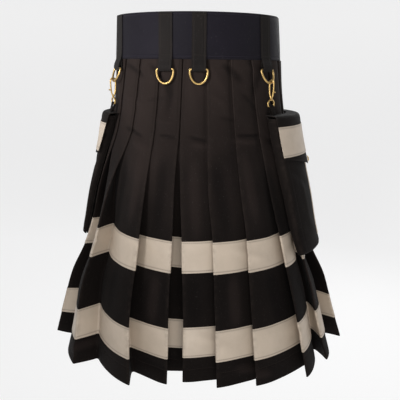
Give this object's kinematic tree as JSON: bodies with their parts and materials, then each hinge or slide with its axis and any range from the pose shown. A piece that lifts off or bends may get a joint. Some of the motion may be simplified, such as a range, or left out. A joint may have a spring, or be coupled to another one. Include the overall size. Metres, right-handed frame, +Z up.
{
  "type": "utility kilt",
  "caption": "Black cotton utility kilt seen from its pleated back, with reflective bands, brass D-rings and two hooked-on cargo pockets.",
  "frame": {"origin": "centre of the waist at mid-height of the waistband, where the garment is held when worn", "axes": "+Z up along the body; the pleated back faces -Y and the aprons +Y; +X is the viewer's right from behind, the wearer's right"},
  "size_m": [0.5706, 0.3913, 0.6075],
  "materials": {
    "cloth": "matte",
    "tape": "satin",
    "brass": "satin"
  },
  "bodies": {
    "kilt": {"waistband": "cloth", "pleated_back": "cloth", "over_apron": "cloth", "under_apron": "cloth", "band_upper_back": "tape", "band_lower_back": "tape", "band_upper_apron": "tape", "band_lower_apron": "tape", "loop_back_left": "cloth", "loop_back_right": "cloth", "loop_side_right": "cloth", "ring_side_right": "brass", "hook_side_right": "brass", "strap_side_right": "cloth", "loop_front_right": "cloth", "ring_front_right": "brass", "hook_front_right": "brass", "strap_front_right": "cloth", "loop_side_left": "cloth", "ring_side_left": "brass", "hook_side_left": "brass", "strap_side_left": "cloth", "loop_front_left": "cloth", "ring_front_left": "brass", "hook_front_left": "brass", "strap_front_left": "cloth", "pocket_back_right": "cloth", "pocket_front_right": "cloth", "pocket_flap_right": "cloth", "pocket_flap_band_right": "tape", "pocket_strip_right": "tape", "pocket_snap_right": "brass", "pocket_back_left": "cloth", "pocket_front_left": "cloth", "pocket_flap_left": "cloth", "pocket_flap_band_left": "tape", "pocket_strip_left": "tape", "pocket_snap_left": "brass", "waist_snap_1": "brass", "waist_snap_2": "brass"},
    "free_ring_back_left": {"ring_back_left": "brass"},
    "free_ring_back_right": {"ring_back_right": "brass"}
  },
  "joints": [
    {"name": "swing_back_left", "type": "hinge", "parent": "kilt", "child": "free_ring_back_left", "pos_m": [-0.05578, -0.12074, -0.0524], "axis": [-0.9517, 0.3072, 0], "range_deg": [0, 100]},
    {"name": "swing_back_right", "type": "hinge", "parent": "kilt", "child": "free_ring_back_right", "pos_m": [-0.00129, -0.12924, -0.0524], "axis": [-1, 0, 0], "range_deg": [0, 100]}
  ]
}
